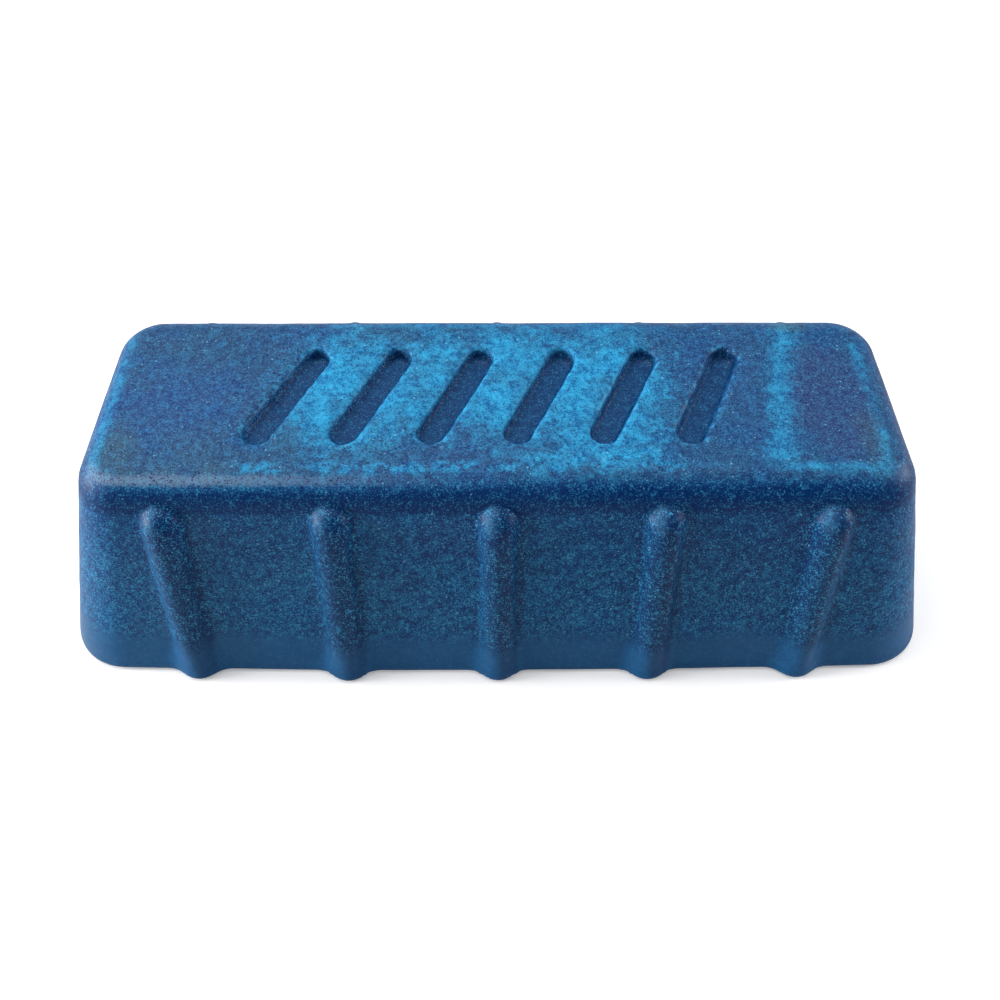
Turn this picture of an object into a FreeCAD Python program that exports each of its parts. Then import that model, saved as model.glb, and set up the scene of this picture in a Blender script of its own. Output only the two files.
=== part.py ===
import FreeCAD, Part
import math
import os

import Sketcher

# Cast bar of buffing compound, one solid: a drafted loaf with round-nosed ribs down both long sides
# and a row of plain slanted grooves cast into its top.
# Frame: X along the bar, Y across it, Z up. The origin is the middle of the flat base.

SIZES = {
    # Loaf: the base is the open side of the mould, and the four walls lean in from it
    "base_length": 127,
    "base_width": 52.8,
    "bar_height": 31.5,
    "side_draft": 18.4,
    "end_draft": 16.5,
    "corner_radius": 8.5,
    "top_edge_radius": 5,
    "base_edge_width": 0.5,
    # Ribs: round bars with a domed top, parallel to the wall that they stand on
    "rib_count": 5,
    "rib_end_margin": 20,
    "rib_radius": 2.8,
    "rib_standout": 1.7,
    "rib_blend_radius": 2,
    "rib_top_clearance": 0.3,
    # Grooves in the top
    "groove_count": 6,
    "groove_pitch": 11.5,
    "groove_width": 4,
    "groove_length": 19,
    "groove_slant": 25,
    "groove_depth": 1.8,
    "groove_draft": 15,
}

# Height on the side wall where the rounding of the top edge starts
ROUNDING_START = (
    "(Sizes.bar_height - Sizes.top_edge_radius * tan(45 deg - Sizes.side_draft * 0.5 deg)"
    " * cos(Sizes.side_draft * 1 deg))"
)
# Height that a rib's blend reaches above the middle of the rib's dome
BLEND_REACH = (
    "(sqrt(pow(Sizes.rib_radius + Sizes.rib_blend_radius; 2)"
    " - pow(Sizes.rib_radius - Sizes.rib_standout + Sizes.rib_blend_radius; 2))"
    " * cos(Sizes.side_draft * 1 deg))"
)

# Length of the row of ribs between the middles of the outermost two
RIB_ROW = "(Sizes.base_length - 2 * Sizes.rib_end_margin)"

doc = FreeCAD.newDocument("buffing_compound_bar")
sheet = doc.addObject("Spreadsheet::Sheet", "Sizes")
for row, (alias, value) in enumerate(SIZES.items(), start=1):
    sheet.set(f"A{row}", alias)
    sheet.set(f"B{row}", str(value))
    sheet.setAlias(f"B{row}", alias)
doc.recompute()

bar = doc.addObject("PartDesign::Body", "CompoundBar")
bar.Label = "compound_bar"

point = FreeCAD.Vector
rule = Sketcher.Constraint
UP = point(0, 0, 1)


def size(alias):
    return float(sheet.get(alias))


def origin_part(role):
    return next(part for part in bar.Origin.OriginFeatures if part.Role == role)


def new_sketch(name, role, offset=None):
    """A sketch on one of the body's origin planes, moved off it by an expression where one is given."""
    sketch = bar.newObject("Sketcher::SketchObject", name)
    sketch.AttachmentSupport = [(origin_part(role), "")]
    sketch.MapMode = "FlatFace"
    if offset:
        sketch.setExpression("AttachmentOffset.Base.z", offset)
    return sketch


def tie_sizes(sketch, named):
    """Adds each dimension, names it and ties it to its expression."""
    for name, (constraint, expression) in named.items():
        index = sketch.addConstraint(constraint)
        sketch.renameConstraint(index, name)
        sketch.setExpression(f"Constraints.{name}", expression)


def rectangle(sketch, length, width):
    """Four lines centred on the sketch's origin. The two sizes are expressions."""
    corners = [point(-50, -20), point(50, -20), point(50, 20), point(-50, 20)]
    for side in range(4):
        sketch.addGeometry(Part.LineSegment(corners[side], corners[(side + 1) % 4]))
    for side in range(4):
        sketch.addConstraint([
            rule("Coincident", side, 2, (side + 1) % 4, 1),
            rule("Vertical" if side % 2 else "Horizontal", side),
        ])
    sketch.addConstraint(rule("Symmetric", 0, 1, 2, 1, -1, 1))
    tie_sizes(sketch, {
        "length": (rule("DistanceX", 0, 1, 0, 2, 100), length),
        "width": (rule("DistanceY", 1, 1, 1, 2, 40), width),
    })


def lean_walls(name, base, wanted, angle):
    """Leans the walls that the test picks out inwards, turning each about its foot at the base."""
    doc.recompute()
    walls = [f"Face{i}" for i, face in enumerate(base.Shape.Faces, start=1) if wanted(face.normalAt(0, 0))]
    feature = bar.newObject("PartDesign::Draft", name)
    feature.Base = (base, walls)
    feature.NeutralPlane = (origin_part("XY_Plane"), [""])
    feature.setExpression("Angle", angle)
    return feature


def dress(kind, name, base, wanted, property_name, expression):
    """A fillet or chamfer on the edges that the test picks out."""
    doc.recompute()
    edges = [f"Edge{i}" for i, edge in enumerate(base.Shape.Edges, start=1) if wanted(edge)]
    feature = bar.newObject(f"PartDesign::{kind}", name)
    feature.Base = (base, edges)
    feature.setExpression(property_name, expression)
    return feature


def pattern(name, feature, count, length):
    """Repeats a feature along the bar, from the first one's middle to the last one's."""
    row = bar.newObject("PartDesign::LinearPattern", name)
    row.Originals = [feature]
    row.Direction = (origin_part("X_Axis"), [""])
    row.setExpression("Length", length)
    row.setExpression("Occurrences", count)
    return row


def lies_at(height):
    """A test for the edges that lie level at one height."""
    return lambda edge: all(abs(edge.valueAt(at).z - height) < 1e-4 for at in edge.ParameterRange)


def is_corner(edge):
    """A test for the four edges that rise from the base to the top."""
    low, high = (edge.valueAt(at).z for at in edge.ParameterRange)
    return abs(high - low) > size("bar_height") / 2


def is_rib_foot(edge):
    """A test for the edges where a rib meets its side wall."""
    row, gaps = size("base_length") - 2 * size("rib_end_margin"), int(size("rib_count")) - 1
    rib_centres = [row * (i / gaps - 0.5) for i in range(gaps + 1)]
    for at in (*edge.ParameterRange, sum(edge.ParameterRange) / 2):
        place = edge.valueAt(at)
        wall = size("base_width") / 2 - place.z * math.tan(math.radians(size("side_draft")))
        off_centre = min(abs(place.x - centre) for centre in rib_centres)
        if abs(abs(place.y) - wall) > 1e-4 or off_centre > size("rib_radius"):
            return False
    return True


# Loaf: a block whose ends and sides each lean by their own draft. It runs on below the base, as the ribs
# do, until both are cut off level.
base_outline = new_sketch("BaseOutline", "XY_Plane")
rectangle(base_outline, "Sizes.base_length", "Sizes.base_width")
block = bar.newObject("PartDesign::Pad", "Block")
block.Profile = base_outline
block.SideType = "Two sides"
block.setExpression("Length", "Sizes.bar_height")
block.setExpression("Length2", "Sizes.bar_height / 2")
leaning_ends = lean_walls("LeaningEnds", block, lambda normal: abs(normal.x) > 0.9, "Sizes.end_draft")
loaf = lean_walls("Loaf", leaning_ends, lambda normal: abs(normal.y) > 0.9, "Sizes.side_draft")
corners = dress("Fillet", "Corners", loaf, is_corner, "Radius", "Sizes.corner_radius")
top_edge = dress("Fillet", "TopEdge", corners, lies_at(size("bar_height")), "Radius", "Sizes.top_edge_radius")

# Rib: half of its outline, turned about an axis that is sunk into the wall by what doesn't stand out
rib_profile = new_sketch("RibProfile", "YZ_Plane", f"-{RIB_ROW} / 2")
lean = math.radians(size("side_draft"))
along = point(math.sin(lean), math.cos(lean))
outward = point(-math.cos(lean), math.sin(lean))
wall_foot = point(-size("base_width") / 2, 0)
low = wall_foot - outward * 1.8 - along * 5
dome = low + along * 30
rib_profile.addGeometry(Part.LineSegment(low, dome + along * 3.3))
rib_profile.addGeometry(Part.ArcOfCircle(Part.Circle(dome, UP, 3.3), math.pi / 2 - lean, math.pi - lean))
rib_profile.addGeometry(Part.LineSegment(dome + outward * 3.3, low + outward * 3.3))
rib_profile.addGeometry(Part.LineSegment(low + outward * 3.3, low))
rib_profile.addGeometry(Part.LineSegment(wall_foot, wall_foot + along * 30), True)
rib_profile.addConstraint([
    rule("Coincident", 0, 2, 1, 1),
    rule("Tangent", 1, 2, 2, 1),
    rule("Coincident", 2, 2, 3, 1),
    rule("Coincident", 3, 2, 0, 1),
    rule("Perpendicular", 3, 0),
    rule("Parallel", 2, 0),
    rule("PointOnObject", 1, 3, 0),
    rule("PointOnObject", 4, 1, -1),
    rule("Parallel", 4, 0),
    rule("Equal", 4, 2),
])
tie_sizes(rib_profile, {
    "wall_foot": (rule("DistanceX", 4, 1, -1, 1, -wall_foot.x), "Sizes.base_width / 2"),
    "wall_lean": (rule("Angle", 4, 1, -2, 1, lean), "Sizes.side_draft * 1 deg"),
    "radius": (rule("Radius", 1, 3.3), "Sizes.rib_radius"),
    "sunk": (rule("Distance", 1, 3, 4, 1.8), "Sizes.rib_radius - Sizes.rib_standout"),
    "dome_height": (
        rule("DistanceY", -1, 1, 1, 3, dome.y),
        f"{ROUNDING_START} - {BLEND_REACH} - Sizes.rib_top_clearance",
    ),
    "run": (rule("Distance", 2, 30), "Sizes.bar_height"),
})
rib = bar.newObject("PartDesign::Revolution", "Rib")
rib.Profile = rib_profile
rib.ReferenceAxis = (rib_profile, ["Edge1"])
rib.Angle = 360

rib_row = pattern("RibRow", rib, "Sizes.rib_count", RIB_ROW)
doc.recompute()
rib_mirror = bar.newObject("PartDesign::Mirrored", "RibMirror")
rib_mirror.MirrorPlane = (origin_part("XZ_Plane"), [""])
ribs = bar.newObject("PartDesign::MultiTransform", "Ribs")
ribs.Originals = [rib]
ribs.Transformations = [rib_row, rib_mirror]
ribs.BaseFeature = rib
bar.Tip = ribs
doc.recompute()

# Flat base: what reaches below it is cut off level
below_base = new_sketch("BelowBase", "XY_Plane")
rectangle(below_base, "2 * Sizes.base_length", "2 * Sizes.base_width")
flat_base = bar.newObject("PartDesign::Pocket", "FlatBase")
flat_base.Profile = below_base
flat_base.setExpression("Length", "Sizes.bar_height")
rib_blends = dress("Fillet", "RibBlends", flat_base, is_rib_foot, "Radius", "Sizes.rib_blend_radius")
base_edge = dress("Chamfer", "BaseEdge", rib_blends, lies_at(0), "Size", "Sizes.base_edge_width")

# Grooves: the outline is the leftmost groove's, a slot that leans to the right
groove_outline = new_sketch("GrooveOutline", "XY_Plane", "Sizes.bar_height")
slant = math.radians(size("groove_slant"))
run = point(math.sin(slant), math.cos(slant)) * 7.5
across = point(math.cos(slant), -math.sin(slant)) * 2
middle = point(-30, 0)
head, foot = middle + run, middle - run
groove_outline.addGeometry(Part.LineSegment(foot + across, head + across))
groove_outline.addGeometry(Part.ArcOfCircle(Part.Circle(head, UP, 2), -slant, math.pi - slant))
groove_outline.addGeometry(Part.LineSegment(head - across, foot - across))
groove_outline.addGeometry(Part.ArcOfCircle(Part.Circle(foot, UP, 2), math.pi - slant, 2 * math.pi - slant))
groove_outline.addGeometry(Part.Point(middle), True)
groove_outline.addConstraint([
    rule("Tangent", 0, 2, 1, 1),
    rule("Tangent", 1, 2, 2, 1),
    rule("Tangent", 2, 2, 3, 1),
    rule("Tangent", 3, 2, 0, 1),
    rule("Equal", 1, 3),
    rule("Symmetric", 1, 3, 3, 3, 4, 1),
    rule("PointOnObject", 4, 1, -1),
])
tie_sizes(groove_outline, {
    "radius": (rule("Radius", 1, 2), "Sizes.groove_width / 2"),
    "length": (rule("Distance", 1, 3, 3, 3, 15), "Sizes.groove_length - Sizes.groove_width"),
    "slant": (rule("Angle", 0, 1, -2, 1, slant), "Sizes.groove_slant * 1 deg"),
    "first": (rule("DistanceX", 4, 1, -1, 1, 30), "Sizes.groove_pitch * (Sizes.groove_count - 1) / 2"),
})
groove = bar.newObject("PartDesign::Pocket", "Groove")
groove.Profile = groove_outline
groove.setExpression("Length", "Sizes.groove_depth")
groove.setExpression("TaperAngle", "-Sizes.groove_draft")
grooves = pattern("Grooves", groove, "Sizes.groove_count", "Sizes.groove_pitch * (Sizes.groove_count - 1)")
bar.Tip = grooves
doc.recompute()

for item in doc.Objects:
    if "Invalid" in item.State or "Error" in item.State:
        raise RuntimeError(f"{item.Name} failed: {item.getStatusString()}")
if not bar.Shape.isValid() or len(bar.Shape.Solids) != 1:
    raise RuntimeError("the bar isn't one valid solid")

os.makedirs("parts", exist_ok=True)
bar.Shape.exportStep("parts/compound_bar.step")
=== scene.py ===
import math
import random

import bmesh
import bpy
import numpy as np
from mathutils import Matrix, Vector, noise


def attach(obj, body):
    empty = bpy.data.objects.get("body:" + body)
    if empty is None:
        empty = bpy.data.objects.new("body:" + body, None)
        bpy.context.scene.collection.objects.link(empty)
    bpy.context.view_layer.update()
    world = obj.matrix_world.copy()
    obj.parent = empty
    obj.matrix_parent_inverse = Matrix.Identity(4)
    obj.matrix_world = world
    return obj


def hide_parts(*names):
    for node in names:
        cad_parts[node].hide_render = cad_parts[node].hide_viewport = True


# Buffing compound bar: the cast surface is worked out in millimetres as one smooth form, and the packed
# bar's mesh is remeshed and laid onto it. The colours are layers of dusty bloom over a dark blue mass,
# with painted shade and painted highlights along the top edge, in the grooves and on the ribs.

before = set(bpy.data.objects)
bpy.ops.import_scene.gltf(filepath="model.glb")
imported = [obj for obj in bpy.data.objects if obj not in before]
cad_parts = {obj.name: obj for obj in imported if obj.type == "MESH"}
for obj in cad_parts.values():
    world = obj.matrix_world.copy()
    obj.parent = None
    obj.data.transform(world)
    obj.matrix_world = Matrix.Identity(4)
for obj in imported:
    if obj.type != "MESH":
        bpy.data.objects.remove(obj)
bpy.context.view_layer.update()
MM = 0.001

# The bar's sizes in millimetres
HALF_LENGTH, HALF_WIDTH, HEIGHT = 63.5, 26.4, 31.5
END_LEAN, SIDE_LEAN = math.radians(16.5), math.radians(18.4)
WALL_COSINE = 0.953  # of the walls' mean lean
CORNER_AT_TOP, CORNER_GROWTH = 5.8, 3.0  # an upright corner's radius, and what it gains by the base
DRAWN_IN = 0.85  # how far the foot of a long wall bends inwards by the ends
TOP_ROUND, BASE_ROUND = 5.0, 0.7
TOP_MEET, BASE_MEET = 0.30, -0.30  # cosines of the angles between the normals at those rounds
RIB_LEAN = math.radians(17.2)
RIB_PITCH, RIB_RADIUS, RIB_SUNK, RIB_TOP = 21.75, 2.8, 1.0, 25.5
BACK_DOME_DROP = 0.7
RIB_BLEND, FOOT_BLEND, FOOT_SUNK, FOOT_TOP = 0.75, 1.9, 0.3, 7.0  # the blend grows towards the foot
GROOVES, GROOVE_PITCH, GROOVE_HALF, GROOVE_RUN, GROOVE_DEPTH = 6, 11.5, 2.0, 7.5, 1.8
GROOVE_LEAN, GROOVE_COSINE = math.radians(15), 0.966
RIM_BLEND, FLOOR_BLEND = 0.55, 0.9
SLANT = math.radians(25)
VOXEL = 0.54


# The camera
def place_camera():
    """Where the photograph was taken from: its outline of the bar, solved for a pinhole camera."""
    pitch, yaw, roll = math.radians(52.98), math.radians(-0.56), math.radians(0.30)
    distance, height = 0.142, 0.00727
    data = bpy.data.cameras.new("photo_camera")
    data.sensor_width = 36.0
    data.lens = 32.4
    data.shift_x = 0.0027
    data.clip_start = 0.002
    data.clip_end = 20.0
    camera = bpy.data.objects.new("photo_camera", data)
    bpy.context.scene.collection.objects.link(camera)
    forward = Vector((0.0, math.cos(pitch), -math.sin(pitch)))
    eye = Vector((0.0, 0.0, height)) - distance * forward
    aim = Matrix.Rotation(math.pi / 2 - pitch, 4, "X")
    turn = Matrix.Rotation(yaw, 4, "Z")
    camera.matrix_world = turn @ Matrix.Translation(eye) @ aim @ Matrix.Rotation(roll, 4, "Z")
    bpy.context.scene.camera = camera


place_camera()


# The cast form, in millimetres
def smooth_step(value, low, high):
    """0 below low, 1 above high, and a smooth rise between them."""
    t = np.clip((value - low) / (high - low), 0.0, 1.0)
    return t * t * (3 - 2 * t)


def soft_min(a, b, reach):
    """The lesser of two values, with a round blend where they are within reach of each other."""
    h = np.clip(0.5 + 0.5 * (b - a) / reach, 0.0, 1.0)
    return b + (a - b) * h - reach * h * (1 - h)


def soft_max(a, b, reach):
    return -soft_min(-a, -b, reach)


def rounded_meet(a, b, radius, lean):
    """Where two faces meet in a round edge. lean is the cosine of the angle between their normals."""
    u, v = a + radius, b + radius
    on_round = (u > lean * v) & (v > lean * u)
    reach = np.sqrt(np.maximum(u * u + v * v - 2 * lean * u * v, 0.0) / (1 - lean * lean))
    return np.where(on_round, reach - radius, np.maximum(a, b))


def groove_place(p):
    """Distance from the nearest groove's middle line, in the plane of the top."""
    x, y = p[:, 0], p[:, 1]
    best = np.full(len(p), 1e3)
    for number in range(GROOVES):
        cx = (number - (GROOVES - 1) / 2) * GROOVE_PITCH
        along = (x - cx) * math.sin(SLANT) + y * math.cos(SLANT)
        across = (x - cx) * math.cos(SLANT) - y * math.sin(SLANT)
        past = np.maximum(np.abs(along) - GROOVE_RUN, 0.0)
        best = np.minimum(best, np.hypot(past, across))
    return best


def rib_across(p):
    """Distance along the bar from the middle of the nearest rib."""
    return p[:, 0] - np.clip(np.round(p[:, 0] / RIB_PITCH), -2, 2) * RIB_PITCH


def dome_height(p):
    """The height of the middle of each rib's dome, a little lower on the back wall."""
    return np.where(p[:, 1] > 0, RIB_TOP - BACK_DOME_DROP, RIB_TOP)


def from_rib(p):
    """Distance along the wall from the middle line of the nearest rib."""
    above = np.maximum(p[:, 2] - dome_height(p), 0) / math.cos(RIB_LEAN)
    return np.hypot(rib_across(p), above)


def rib_place(p):
    """Distance outside the nearest rib's round bar."""
    side = np.abs(p[:, 1])
    dome_z = dome_height(p)
    dome_y = HALF_WIDTH - RIB_SUNK / math.cos(RIB_LEAN) - dome_z * math.tan(RIB_LEAN)
    down = (side - dome_y) * math.sin(RIB_LEAN) - (p[:, 2] - dome_z) * math.cos(RIB_LEAN)
    held = np.maximum(down, 0.0)
    away_y = side - dome_y - held * math.sin(RIB_LEAN)
    away_z = p[:, 2] - dome_z + held * math.cos(RIB_LEAN)
    return np.sqrt(rib_across(p) ** 2 + away_y**2 + away_z**2) - RIB_RADIUS


def loaf(p):
    """How far each point lies outside the cast surface before the grooves, in millimetres."""
    x, z = p[:, 0], p[:, 2]
    low = 1 - np.clip(z / HEIGHT, 0.0, 1.0)
    drawn_in = DRAWN_IN * low * (x / HALF_LENGTH) ** 2
    side = np.abs(p[:, 1]) + drawn_in
    corner = CORNER_AT_TOP + CORNER_GROWTH * low
    out_x = np.abs(x) - (HALF_LENGTH - z * math.tan(END_LEAN) - corner)
    out_y = side - (HALF_WIDTH - z * math.tan(SIDE_LEAN) - corner)
    outside = np.hypot(np.maximum(out_x, 0), np.maximum(out_y, 0))
    wall = (outside + np.minimum(np.maximum(out_x, out_y), 0) - corner) * WALL_COSINE
    body = rounded_meet(wall, z - HEIGHT, TOP_ROUND, TOP_MEET)
    bent = p.copy()
    bent[:, 1] = np.copysign(side, p[:, 1])
    by_foot = 1 - smooth_step(z, 0.0, FOOT_TOP)
    body = soft_min(body, rib_place(bent) + FOOT_SUNK * by_foot, RIB_BLEND + FOOT_BLEND * by_foot)
    return rounded_meet(body, -z, BASE_ROUND, BASE_MEET)


def form(p):
    """How far each point lies outside the cast surface with its grooves."""
    depth = HEIGHT - p[:, 2]
    groove_wall = (groove_place(p) - GROOVE_HALF + depth * math.tan(GROOVE_LEAN)) * GROOVE_COSINE
    groove_floor = depth - GROOVE_DEPTH
    return soft_max(loaf(p), -soft_max(groove_wall, groove_floor, FLOOR_BLEND), RIM_BLEND)


def slope(p, shape=form):
    """How fast the shape's distance grows along each axis, measured over a short step either way."""
    step = 0.04
    grad = np.empty_like(p)
    for axis in range(3):
        ahead, behind = p.copy(), p.copy()
        ahead[:, axis] += step
        behind[:, axis] -= step
        grad[:, axis] = (shape(ahead) - shape(behind)) / (2 * step)
    return grad


def lay_on(p, sunk, rounds=4):
    """Moves the points along the form's slope until each lies its own depth under the form."""
    for _ in range(rounds):
        grad = slope(p)
        steep = np.maximum((grad**2).sum(1), 0.25)
        shift = (form(p) + sunk) / steep
        p = p - grad * np.clip(shift, -0.8, 0.8)[:, None]
    return p


def field(p, scale, seed):
    """Smooth noise over the points, about -1 to 1."""
    away = Vector((seed * 17.3, seed * -9.1, seed * 5.7))
    return np.array([noise.noise(Vector(q) / scale + away) for q in p])


# The bar's mesh, with its dents and pits
def blemishes(p):
    """Shallow dents and small casting pits, each a smooth dish sunk into the surface."""
    chance = random.Random(2718)
    sunk = np.zeros(len(p))
    for _ in range(150):
        x = chance.uniform(-62, 62)
        y = chance.uniform(-27, 27)
        z = chance.uniform(1, HEIGHT)
        if chance.random() < 0.45:
            z = HEIGHT
        spot = lay_on(np.array([[x, y, z]]), np.zeros(1), 8)[0]
        radius = chance.uniform(0.45, 1.1)
        depth = chance.uniform(0.05, 0.2) * radius
        away = np.sqrt(((p - spot) ** 2).sum(1))
        sunk += depth * (1 - smooth_step(away, 0.0, radius * 1.3))
    for _ in range(26):
        x = chance.uniform(-60, 60)
        y = chance.choice([-1, 1]) * chance.uniform(12, 26)
        z = chance.uniform(2, 31)
        spot = lay_on(np.array([[x, y, z]]), np.zeros(1), 8)[0]
        radius = chance.uniform(2.5, 6.0)
        away = np.sqrt(((p - spot) ** 2).sum(1))
        sunk += chance.uniform(0.02, 0.06) * (1 - smooth_step(away, 0.0, radius))
    return sunk


def refine_rims(mesh):
    """Gives the groove rims and walls a finer mesh than the open surfaces."""
    wall_middle, reach = 1.8, 0.75
    work = bmesh.new()
    work.from_mesh(mesh)
    middles = np.array([face.calc_center_median() for face in work.faces]) / MM
    near = np.abs(groove_place(middles) - wall_middle) < reach
    near &= middles[:, 2] > HEIGHT - GROOVE_DEPTH - 0.6
    edges = {edge for face, close in zip(work.faces, near) if close for edge in face.edges}
    bmesh.ops.subdivide_edges(work, edges=list(edges), cuts=1, use_grid_fill=True)
    bmesh.ops.triangulate(work, faces=[face for face in work.faces if len(face.verts) > 4])
    work.to_mesh(mesh)
    work.free()


def cast_surface(p):
    """Lays the points onto the form, sunk by its slow waves, its rough groove rims, its dents and its pits."""
    p = lay_on(p, np.zeros(len(p)), 5)
    high = smooth_step(p[:, 2], 1.0, 5.0)
    sunk = 0.08 + 0.08 * field(p, 17.0, 1) + 0.03 * field(p, 5.0, 2)
    sunk += 0.022 * field(p, 1.7, 3) * (0.4 + 0.6 * high)
    rim = np.exp(-((groove_place(p) - GROOVE_HALF) / 0.55) ** 2) * smooth_step(p[:, 2], 29.6, 30.6)
    sunk += rim * (0.07 + 0.13 * field(p, 1.3, 4))
    sunk += blemishes(p)
    p = lay_on(p, np.maximum(sunk, 0.0), 4)
    p[:, 2] = np.clip(p[:, 2], 0.0, HEIGHT)
    return p


def form_marks(p):
    """What the material needs to know of the form at each point, by the attribute's name."""
    x, z = p[:, 0], p[:, 2]
    depth = HEIGHT - z
    from_groove = groove_place(p) - GROOVE_HALF
    in_groove = smooth_step(-from_groove, -0.1, 0.5) * smooth_step(depth, 0.15, 0.9)
    # The groove's sides, where a painted shade darkens the recess
    painted_groove_shade = in_groove * (1 - smooth_step(depth, 1.4, 1.75))
    by_rim = np.exp(-((from_groove - 0.25) / 0.4) ** 2) * smooth_step(z, 30.6, 31.2)

    across = rib_across(p)
    on_rib = smooth_step(-rib_place(p), -0.5, -0.1) * (z < 29.5)
    # The right part of each rib's dome, where a painted shade darkens it
    painted_cap_shade = on_rib * smooth_step(z, 23.2, 25.0) * smooth_step(across, -1.9, 0.2)
    # The upper left of each dome, where a painted highlight lightens it
    painted_dome_highlight = smooth_step(z, 25.6, 26.8) * (z < 28.6) * smooth_step(on_rib, 0.1, 0.7)
    painted_dome_highlight *= np.exp(-((across + 1.1) / 0.8) ** 2)
    # Down each rib's right side, short of the rightmost rib, where a painted shade darkens it
    painted_rib_shade = on_rib * smooth_step(across, -0.6, 1.0) * (1 - smooth_step(across, 2.4, 3.4)) * (x < 35)
    # The left flanks of the ribs towards the left end, kept mostly clear of the rib slate so they stay lighter
    # as painted light from the left
    lit_left_flank = (1 - smooth_step(across, -2.8, -0.8)) * (1 - smooth_step(x, -10, 30))
    # Along the hollow where each rib's flank meets the wall, where a painted shade darkens it
    painted_crease_shade = np.exp(-((from_rib(p) - 3.0) / 0.42) ** 2) * smooth_step(z, 4.0, 8.0) * (np.abs(p[:, 1]) > 14)

    outward = slope(p, loaf)
    return {"in_groove": in_groove, "painted_groove_shade": painted_groove_shade, "by_rim": by_rim,
            "on_rib": on_rib * (1 - 0.6 * lit_left_flank), "painted_cap_shade": painted_cap_shade, "painted_dome_highlight": painted_dome_highlight,
            "painted_rib_shade": painted_rib_shade, "painted_crease_shade": painted_crease_shade,
            "facing_up": outward[:, 2] / np.linalg.norm(outward, axis=1)}


def make_bar():
    """The visible bar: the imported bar's mesh remeshed finely and laid onto the cast form."""
    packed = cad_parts["compound_bar"]
    mesh = packed.data.copy()
    bar = bpy.data.objects.new("cast_compound_bar", mesh)
    bpy.context.scene.collection.objects.link(bar)
    mesh.materials.clear()
    remesh = bar.modifiers.new("even_mesh", "REMESH")
    remesh.mode = "VOXEL"
    remesh.voxel_size = VOXEL * MM
    remesh.use_smooth_shade = True
    graph = bpy.context.evaluated_depsgraph_get()
    even = bpy.data.meshes.new_from_object(bar.evaluated_get(graph))
    bar.modifiers.clear()
    bar.data = even
    bpy.data.meshes.remove(mesh)
    refine_rims(even)

    flat = np.empty(len(even.vertices) * 3)
    even.vertices.foreach_get("co", flat)
    p = cast_surface(flat.reshape(-1, 3) / MM)
    even.vertices.foreach_set("co", (p * MM).ravel())
    even.update()
    for name, values in form_marks(p).items():
        layer = even.attributes.new(name, "FLOAT", "POINT")
        layer.data.foreach_set("value", np.asarray(values, np.float32))
    for face in even.polygons:
        face.use_smooth = True
    return bar


bar = make_bar()


# The material
def srgb(red, green, blue):
    """A shader colour from the 0 to 255 values of a picture."""
    def linear(part):
        part /= 255
        return part / 12.92 if part <= 0.04045 else ((part + 0.055) / 1.055) ** 2.4
    return (linear(red), linear(green), linear(blue), 1.0)


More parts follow.
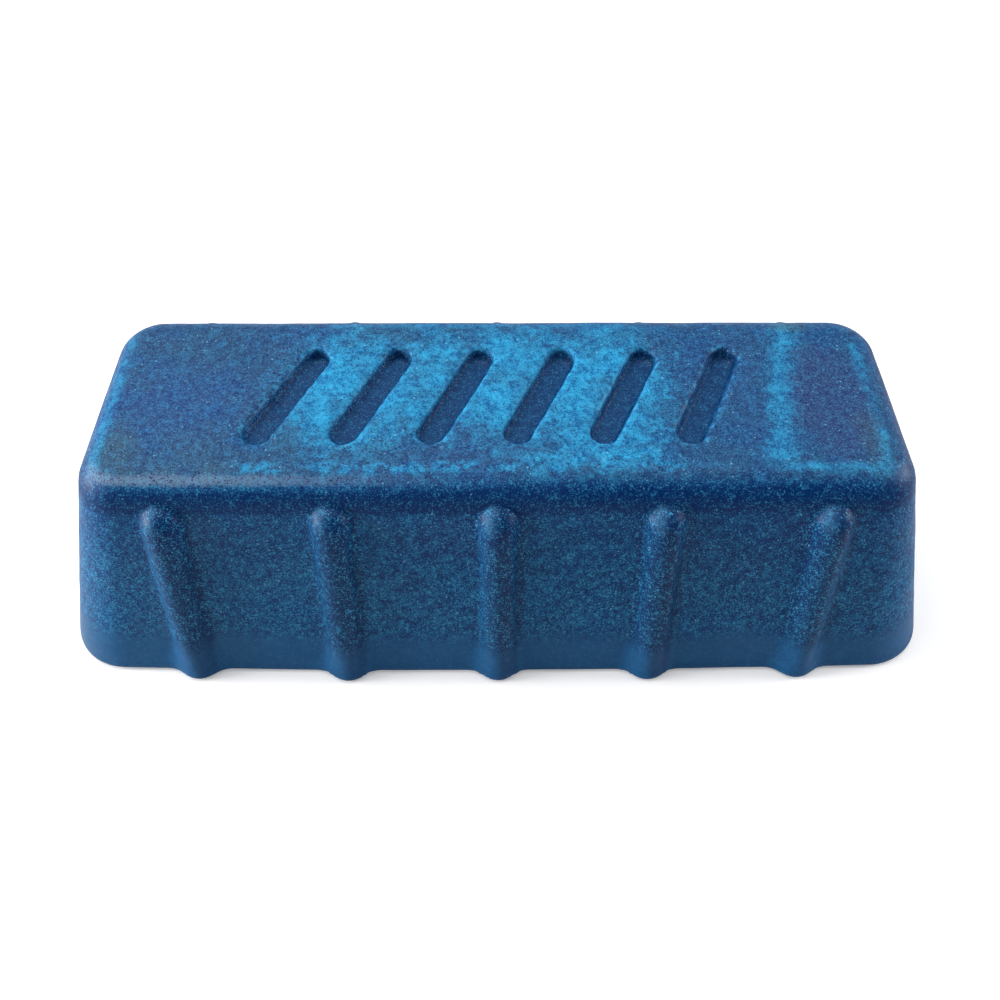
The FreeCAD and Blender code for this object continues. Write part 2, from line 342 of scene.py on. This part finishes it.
class Paint:
    """Short names for the nodes of one material. Places are in millimetres on the bar."""

    def __init__(self, name):
        self.material = bpy.data.materials.new(name)
        self.material.use_nodes = True
        self.tree = self.material.node_tree
        self.shader = self.tree.nodes["Principled BSDF"]
        coordinates = self.add("ShaderNodeTexCoord")
        scaled = self.add("ShaderNodeVectorMath", operation="SCALE")
        self.put(scaled.inputs[0], coordinates.outputs["Object"])
        scaled.inputs["Scale"].default_value = 1 / MM
        self.place = scaled.outputs[0]
        apart = self.add("ShaderNodeSeparateXYZ")
        self.put(apart.inputs[0], self.place)
        self.x, self.y, self.z = apart.outputs

    def add(self, kind, **settings):
        made = self.tree.nodes.new(kind)
        for name, value in settings.items():
            setattr(made, name, value)
        return made

    def put(self, socket, value):
        if isinstance(value, bpy.types.NodeSocket):
            self.tree.links.new(value, socket)
        else:
            socket.default_value = value

    def calc(self, operation, a, b=0.0):
        made = self.add("ShaderNodeMath", operation=operation)
        for socket, value in zip(made.inputs, (a, b)):
            self.put(socket, value)
        return made.outputs[0]

    def times(self, *values):
        result = values[0]
        for value in values[1:]:
            result = self.calc("MULTIPLY", result, value)
        return result

    def plus(self, *values):
        result = values[0]
        for value in values[1:]:
            result = self.calc("ADD", result, value)
        return result

    def rest(self, value):
        """What the value leaves of 1."""
        return self.calc("SUBTRACT", 1.0, value)

    def step(self, value, low, high, start=0.0, end=1.0):
        """A smooth change from start to end while the value goes from low to high."""
        made = self.add("ShaderNodeMapRange", interpolation_type="SMOOTHSTEP")
        for socket, entry in zip(made.inputs, (value, low, high, start, end)):
            self.put(socket, entry)
        return made.outputs[0]

    def band(self, value, low, high, soft):
        """1 between low and high, falling to 0 over soft on either side."""
        rise = self.step(value, low - soft, low + soft)
        return self.times(rise, self.step(value, high - soft, high + soft, 1, 0))

    def moved(self, offset):
        made = self.add("ShaderNodeMapping")
        self.put(made.inputs["Vector"], self.place)
        made.inputs["Location"].default_value = offset
        return made.outputs[0]

    def cloud(self, size, seed, detail, rough=0.55):
        """Noise from about 0.2 to 0.8 whose patches are about size millimetres across."""
        made = self.add("ShaderNodeTexNoise", noise_dimensions="3D")
        self.put(made.inputs["Vector"], self.moved((seed * 7.7, seed * 3.1, seed * -5.3)))
        made.inputs["Scale"].default_value = 1 / size
        made.inputs["Detail"].default_value = detail
        made.inputs["Roughness"].default_value = rough
        return made.outputs["Fac"]

    def grains(self, size, seed):
        """A random number for each grain."""
        made = self.add("ShaderNodeTexVoronoi", feature="F1")
        self.put(made.inputs["Vector"], self.moved((seed * 3.3, seed * 9.1, seed * 1.7)))
        made.inputs["Scale"].default_value = 1 / size
        apart = self.add("ShaderNodeSeparateColor")
        self.put(apart.inputs[0], made.outputs["Color"])
        return apart.outputs[0]

    def spot(self, middle, reach, fuzz, soft):
        """1 inside a patch with a frayed edge: its middle and half sizes, and a noise that frays it."""
        away = self.add("ShaderNodeVectorMath", operation="SUBTRACT")
        self.put(away.inputs[0], self.place)
        away.inputs[1].default_value = middle
        shrunk = self.add("ShaderNodeVectorMath", operation="DIVIDE")
        self.put(shrunk.inputs[0], away.outputs[0])
        shrunk.inputs[1].default_value = reach
        length = self.add("ShaderNodeVectorMath", operation="LENGTH")
        self.put(length.inputs[0], shrunk.outputs[0])
        frayed = self.plus(length.outputs["Value"], fuzz)
        return self.step(frayed, 1 - soft, 1 + soft, 1, 0)

    def streak(self, start, end, width, fuzz, soft):
        """1 along a line on the top from start to end, both (x, y), with frayed sides."""
        dx, dy = end[0] - start[0], end[1] - start[1]
        length = math.hypot(dx, dy)
        ux, uy = dx / length, dy / length
        px = self.calc("SUBTRACT", self.x, start[0])
        py = self.calc("SUBTRACT", self.y, start[1])
        along = self.plus(self.times(px, ux), self.times(py, uy))
        across = self.calc("SUBTRACT", self.times(px, uy), self.times(py, ux))
        off = self.calc("ABSOLUTE", self.plus(across, fuzz))
        return self.times(self.step(off, width * (1 - soft), width * (1 + soft), 1, 0),
                          self.band(along, 0.0, length, 1.5))

    def known(self, name):
        """One of the form's marks."""
        return self.add("ShaderNodeAttribute", attribute_name=name).outputs["Fac"]

    def blend(self, amount, under, over):
        made = self.add("ShaderNodeMix", data_type="RGBA", clamp_factor=True)
        self.put(made.inputs["Factor"], amount)
        colours = [socket for socket in made.inputs if socket.type == "RGBA"]
        self.put(colours[0], under)
        self.put(colours[1], over)
        return [socket for socket in made.outputs if socket.type == "RGBA"][0]


def compound_material():
    m = Paint("blue_compound")
    grit = m.cloud(0.21, 1, 2.0, 0.65)
    coarse_grit = m.cloud(0.8, 2, 3.0, 0.65)
    fray = m.calc("SUBTRACT", m.cloud(2.6, 3, 4.0, 0.7), 0.5)
    fine_fray = m.calc("SUBTRACT", m.cloud(0.7, 4, 3.0, 0.7), 0.5)
    grain = m.plus(m.times(grit, 0.7), m.times(coarse_grit, 0.3))
    drift = m.cloud(22, 5, 2.0)
    mottle = m.cloud(6.5, 6, 4.0, 0.6)
    wide = m.plus(m.times(fray, 1.6), m.times(fine_fray, 0.9))
    top = m.step(m.plus(m.z, m.times(fray, 0.9)), 30.2, 31.3)
    side = m.rest(top)
    groove = m.known("in_groove")
    open_top = m.times(top, m.rest(groove))
    rib = m.known("on_rib")
    foot_wave = m.calc("SUBTRACT", m.cloud(14, 11, 1.0), 0.5)
    foot = m.step(m.plus(m.z, m.times(foot_wave, 4.0), m.times(fine_fray, 1.5)), 5.0, 8.6, 1, 0)

    # The dark mass under the bloom, painted lighter and greyer towards the left end as a painted sheen of the
    # light from the left
    left_to_right = m.step(m.plus(m.x, m.times(fray, 26)), -52, 30)
    top_mass = m.blend(left_to_right, srgb(44, 80, 112), srgb(38, 78, 120))
    wall_mass = m.blend(left_to_right, srgb(26, 80, 130), srgb(6, 66, 120))
    colour = m.blend(top, wall_mass, top_mass)
    colour = m.blend(m.step(mottle, 0.42, 0.72, 0, 0.45), colour, srgb(10, 74, 140))
    colour = m.blend(m.times(m.step(drift, 0.45, 0.65), 0.3), colour, srgb(44, 68, 126))
    blotch = m.cloud(1.7, 12, 3.0, 0.6)
    colour = m.blend(m.step(blotch, 0.5, 0.68, 0, 0.3), colour, srgb(40, 128, 184))
    colour = m.blend(m.step(blotch, 0.36, 0.48, 0.35, 0), colour, srgb(4, 48, 100))

    # Dust that settled on the walls, more in their middle than above or below
    height = m.plus(m.z, m.times(fray, 9))
    dust = m.times(m.step(height, 5.0, 9.0), m.step(height, 15, 25, 1, 0), side)
    powder = m.plus(m.times(grit, 0.6), m.times(coarse_grit, 0.4))
    dust = m.times(dust, m.step(powder, 0.42, 0.62))
    colour = m.blend(m.times(dust, 0.62), colour, srgb(20, 108, 154))
    colour = m.blend(m.times(foot, 0.8), colour, srgb(30, 92, 142))

    # Dark band under the round top edge, where the surface turns from facing up: partly the navy's own bare
    # band and partly a painted dark reflection. Above it a pale painted highlight along the round edge,
    # strongest at the left
    upward = m.plus(m.known("facing_up"), m.times(fray, 0.10), m.times(fine_fray, 0.06))
    turned = m.calc("SUBTRACT", upward, m.step(m.x, -18, 12, 0, 0.11))
    lower_side = m.step(m.plus(m.z, m.times(fray, 1.6), m.times(fine_fray, 1.4)), 26.4, 27.7)
    under_edge = m.times(m.step(turned, 0.64, 0.80, 1, 0), lower_side)
    colour = m.blend(m.times(under_edge, 0.92), colour, srgb(0, 42, 98))
    # A pale painted highlight on the part of the round front edge that still faces partly up, towards the left
    painted_edge_highlight = m.times(m.band(upward, 0.81, 0.935, 0.04), m.step(m.z, 29.0, 30.0),
                     m.step(m.y, -12, -11, 1, 0))
    painted_edge_highlight = m.times(painted_edge_highlight, m.step(m.plus(m.x, m.times(fray, 16)), -44, -2, 1.0, 0.0),
                     m.step(m.calc("ABSOLUTE", m.x), 50, 56, 1, 0))
    colour = m.blend(m.times(painted_edge_highlight, 0.52), colour, srgb(136, 162, 190))
    # Greyer towards the foot of the left end: a painted sheen of the light from the left
    left_end_sheen = m.times(m.step(m.x, -60, -54, 1, 0), side)
    colour = m.blend(m.times(left_end_sheen, 0.5), colour, srgb(50, 84, 118))

    # Bloom on the top: a cloud among the grooves, streaks along the front, the right and the edges
    cloud = m.spot((-20, 0.5, HEIGHT), (9.0, 10.5, 9), wide, 0.5)
    for middle, reach in (
        ((-8.5, 2.0, HEIGHT), (7.0, 9.0, 9)),
        ((2.5, 2.5, HEIGHT), (8.0, 11.0, 9)),
        ((14.0, 1.0, HEIGHT), (8.5, 12.5, 9)),
    ):
        cloud = m.calc("MAXIMUM", cloud, m.spot(middle, reach, wide, 0.5))
    cloud = m.times(cloud, m.step(mottle, 0.25, 0.6, 0.45, 1.0))
    cracks = m.step(m.cloud(1.5, 8, 4.0, 0.7), 0.44, 0.58)
    front_streak = m.times(m.streak((-34, -13.1), (24, -12.8), 0.8, m.times(wide, 2.2), 0.8), cracks)
    front_patch = m.times(m.streak((3, -12.2), (21, -11.2), 1.5, m.times(wide, 3.2), 0.8),
                          m.step(cracks, 0, 1, 0.5, 1.0))
    bloom = m.times(cloud, 0.9)
    for strip, strength in (
        (front_streak, 0.75),
        (front_patch, 0.9),
        (m.streak((41.5, 14), (36.3, -12.6), 1.7, m.times(wide, 3.4), 0.9), 0.55),
        (m.streak((50.8, 9.5), (50.2, -13), 0.7, m.times(wide, 1.6), 0.9), 0.55),
        (m.streak((36, -12.9), (51, -13.1), 0.7, m.times(wide, 1.6), 0.9), 0.55),
        (m.streak((-53.0, 12), (-52.0, -13), 1.0, m.times(wide, 2.0), 0.9), 0.5),
        (m.streak((-24, 13.9), (19, 13.9), 0.9, m.times(wide, 2.2), 0.9), 0.45),
    ):
        bloom = m.calc("MAXIMUM", bloom, m.times(strip, strength))
    bloom = m.times(bloom, open_top)
    speckle = m.plus(m.times(grit, 0.35), m.times(coarse_grit, 0.25), m.times(blotch, 0.4))
    speckle = m.step(speckle, 0.38, 0.62)
    colour = m.blend(bloom, colour, m.blend(speckle, srgb(14, 100, 160), srgb(50, 176, 226)))

    # A clear purple patch at the right, a royal blue tint at the left and smudges of yellow dirt by the ends
    clear = m.times(m.spot((45.5, -1.5, HEIGHT), (5.4, 10.5, 9), m.times(fray, 0.6), 0.3), top)
    colour = m.blend(m.times(clear, 0.7), colour, srgb(50, 66, 112))
    royal = m.times(m.spot((-44, -2.0, HEIGHT), (8, 7, 9), wide, 0.7), top)
    colour = m.blend(m.times(royal, 0.32), colour, srgb(34, 74, 150))
    for middle, reach, strength in (
        ((-49.6, -9.4, HEIGHT), (2.4, 3.0, 6), 0.18),
        ((49.2, -8.2, HEIGHT), (1.7, 4.8, 6), 0.2),
        ((41.8, 13.4, HEIGHT), (2.6, 1.0, 6), 0.35),
    ):
        dirt = m.spot(middle, reach, wide, 0.7)
        colour = m.blend(m.times(dirt, strength), colour, srgb(84, 104, 80))

    # Grooves: floors painted a darker slate, partly their bare unbloomed colour and partly painted shade in the
    # recess; sides painted dark as painted shade; bright grains along the rims
    colour = m.blend(m.times(groove, 0.85), colour, srgb(22, 68, 118))
    colour = m.blend(m.times(m.known("painted_groove_shade"), 0.85), colour, srgb(2, 30, 76))
    rim = m.times(m.known("by_rim"), m.step(coarse_grit, 0.48, 0.62), top)
    colour = m.blend(m.times(rim, 0.5), colour, srgb(56, 160, 212))

    # Ribs: slate, as little dust stays on them, but kept off the left flanks of the left-hand ribs, which stay
    # lighter as painted light from the left; on the dome a painted shade on its right and a painted highlight
    # on its crest, a painted shade down each rib's right side and a painted shade as a dark line along the foot
    # of each flank
    colour = m.blend(m.times(rib, 0.7, m.step(m.z, 4, 8)), colour, srgb(16, 52, 94))
    colour = m.blend(m.times(m.known("painted_cap_shade"), 0.8), colour, srgb(0, 38, 92))
    colour = m.blend(m.times(m.known("painted_rib_shade"), 0.45), colour, srgb(0, 40, 88))
    colour = m.blend(m.times(m.known("painted_crease_shade"), 0.6), colour, srgb(0, 36, 82))
    colour = m.blend(m.times(m.known("painted_dome_highlight"), 0.4), colour, srgb(80, 136, 176))

    # Grain: all but the smooth foot is peppered with fine dark and pale grains
    peppered = m.times(m.rest(m.times(foot, 0.8)), m.rest(m.times(groove, 0.4)),
                       m.rest(m.times(under_edge, 0.35)))
    dark = m.times(m.step(grain, 0.36, 0.5, 1, 0), peppered, m.calc("SUBTRACT", 0.95, m.times(bloom, 0.6)))
    colour = m.blend(dark, colour, srgb(0, 36, 86))
    pale = m.times(m.step(grain, 0.51, 0.64), peppered, m.calc("SUBTRACT", 0.86, m.times(top, 0.4)))
    colour = m.blend(pale, colour, srgb(60, 156, 206))
    glint = m.grains(0.2, 7)
    colour = m.blend(m.times(m.step(glint, 0.993, 0.999), peppered, 0.5), colour, srgb(130, 195, 225))
    m.put(m.shader.inputs["Base Color"], colour)

    rough = m.plus(m.step(mottle, 0.3, 0.7, 0.38, 0.5), m.times(foot, -0.05), m.times(bloom, 0.15))
    m.put(m.shader.inputs["Roughness"], rough)
    m.shader.inputs["Specular IOR Level"].default_value = 0.12

    relief = m.plus(m.times(grit, 0.5), m.times(m.cloud(1.1, 13, 3.0, 0.6), 0.7), m.times(coarse_grit, 0.5))
    bump = m.add("ShaderNodeBump")
    bump.inputs["Strength"].default_value = 0.6
    bump.inputs["Distance"].default_value = 0.06 * MM
    m.put(bump.inputs["Height"], relief)
    m.put(m.shader.inputs["Normal"], bump.outputs[0])
    return m.material


bar.data.materials.append(compound_material())
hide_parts("compound_bar")
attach(bar, "root")


# Floor, lamps and world
def show(nodes, links, seen, light, out):
    """The camera sees one shader, and every other ray meets the other one."""
    path = nodes.new("ShaderNodeLightPath")
    pick = nodes.new("ShaderNodeMixShader")
    links.new(path.outputs["Is Camera Ray"], pick.inputs[0])
    links.new(light.outputs[0], pick.inputs[1])
    links.new(seen.outputs[0], pick.inputs[2])
    links.new(pick.outputs[0], out.inputs["Surface"])


def floor_material():
    """A white floor that glows a little where the camera sees it, so that it ends up as pale as the photo's."""
    made = bpy.data.materials.new("studio_floor")
    made.use_nodes = True
    nodes, links = made.node_tree.nodes, made.node_tree.links
    nodes.clear()
    out = nodes.new("ShaderNodeOutputMaterial")
    plain = nodes.new("ShaderNodeBsdfDiffuse")
    plain.inputs["Color"].default_value = (0.8, 0.8, 0.8, 1)
    seen = nodes.new("ShaderNodeBsdfDiffuse")
    seen.inputs["Color"].default_value = (0.93, 0.93, 0.94, 1)
    glow = nodes.new("ShaderNodeEmission")
    glow.inputs["Color"].default_value = (1, 1, 1, 1)
    glow.inputs["Strength"].default_value = 0.28
    both = nodes.new("ShaderNodeAddShader")
    links.new(seen.outputs[0], both.inputs[0])
    links.new(glow.outputs[0], both.inputs[1])
    show(nodes, links, both, plain, out)
    return made


def make_floor():
    reach, level = 1.1, -0.00002
    corners = [(-reach, -reach, level), (reach, -reach, level), (reach, reach, level), (-reach, reach, level)]
    mesh = bpy.data.meshes.new("studio_floor")
    mesh.from_pydata(corners, [], [(0, 1, 2, 3)])
    floor = bpy.data.objects.new("studio_floor", mesh)
    bpy.context.scene.collection.objects.link(floor)
    mesh.materials.append(floor_material())


def soft_box(name, place, size, power, tint=(1, 1, 1)):
    """A square lamp in metres and watts, turned towards the middle of the bar."""
    data = bpy.data.lights.new(name, "AREA")
    data.shape = "RECTANGLE"
    data.size, data.size_y = size
    data.energy = power
    data.color = tint
    lamp = bpy.data.objects.new(name, data)
    bpy.context.scene.collection.objects.link(lamp)
    lamp.location = place
    lamp.rotation_euler = (Vector((0, 0, 0.015)) - Vector(place)).to_track_quat("-Z", "Y").to_euler()


def make_world():
    """White where the camera sees it. As light it is bright behind and above the bar and dark in front."""
    world = bpy.data.worlds.new("studio")
    bpy.context.scene.world = world
    world.use_nodes = True
    nodes, links = world.node_tree.nodes, world.node_tree.links
    nodes.clear()
    out = nodes.new("ShaderNodeOutputWorld")
    coordinates = nodes.new("ShaderNodeTexCoord")
    towards = nodes.new("ShaderNodeVectorMath")
    towards.operation = "DOT_PRODUCT"
    links.new(coordinates.outputs["Generated"], towards.inputs[0])
    towards.inputs[1].default_value = (0.0, 0.8, 0.6)
    ramp = nodes.new("ShaderNodeMapRange")
    ramp.interpolation_type = "SMOOTHSTEP"
    links.new(towards.outputs["Value"], ramp.inputs[0])
    for socket, value in zip(list(ramp.inputs)[1:5], (-0.2, 0.9, 0.11, 0.52)):
        socket.default_value = value
    light = nodes.new("ShaderNodeBackground")
    light.inputs["Color"].default_value = (0.97, 0.985, 1.0, 1)
    links.new(ramp.outputs[0], light.inputs["Strength"])
    seen = nodes.new("ShaderNodeBackground")
    seen.inputs["Color"].default_value = (1, 1, 1, 1)
    show(nodes, links, seen, light, out)


make_floor()
make_world()
WARM = (1.0, 0.97, 0.94)
soft_box("key_left", (-0.30, 0.18, 0.57), (0.42, 0.36), 1.9)
soft_box("low_left", (-0.58, -0.03, 0.16), (0.20, 0.18), 4.0, WARM)
soft_box("low_right", (0.58, 0.06, 0.20), (0.20, 0.20), 2.2, WARM)
soft_box("over_back", (0.12, 0.22, 0.72), (0.5, 0.4), 1.1)
soft_box("low_front", (-0.35, -0.80, 0.09), (0.9, 0.12), 0.35)
bpy.context.scene.view_settings.view_transform = "Standard"
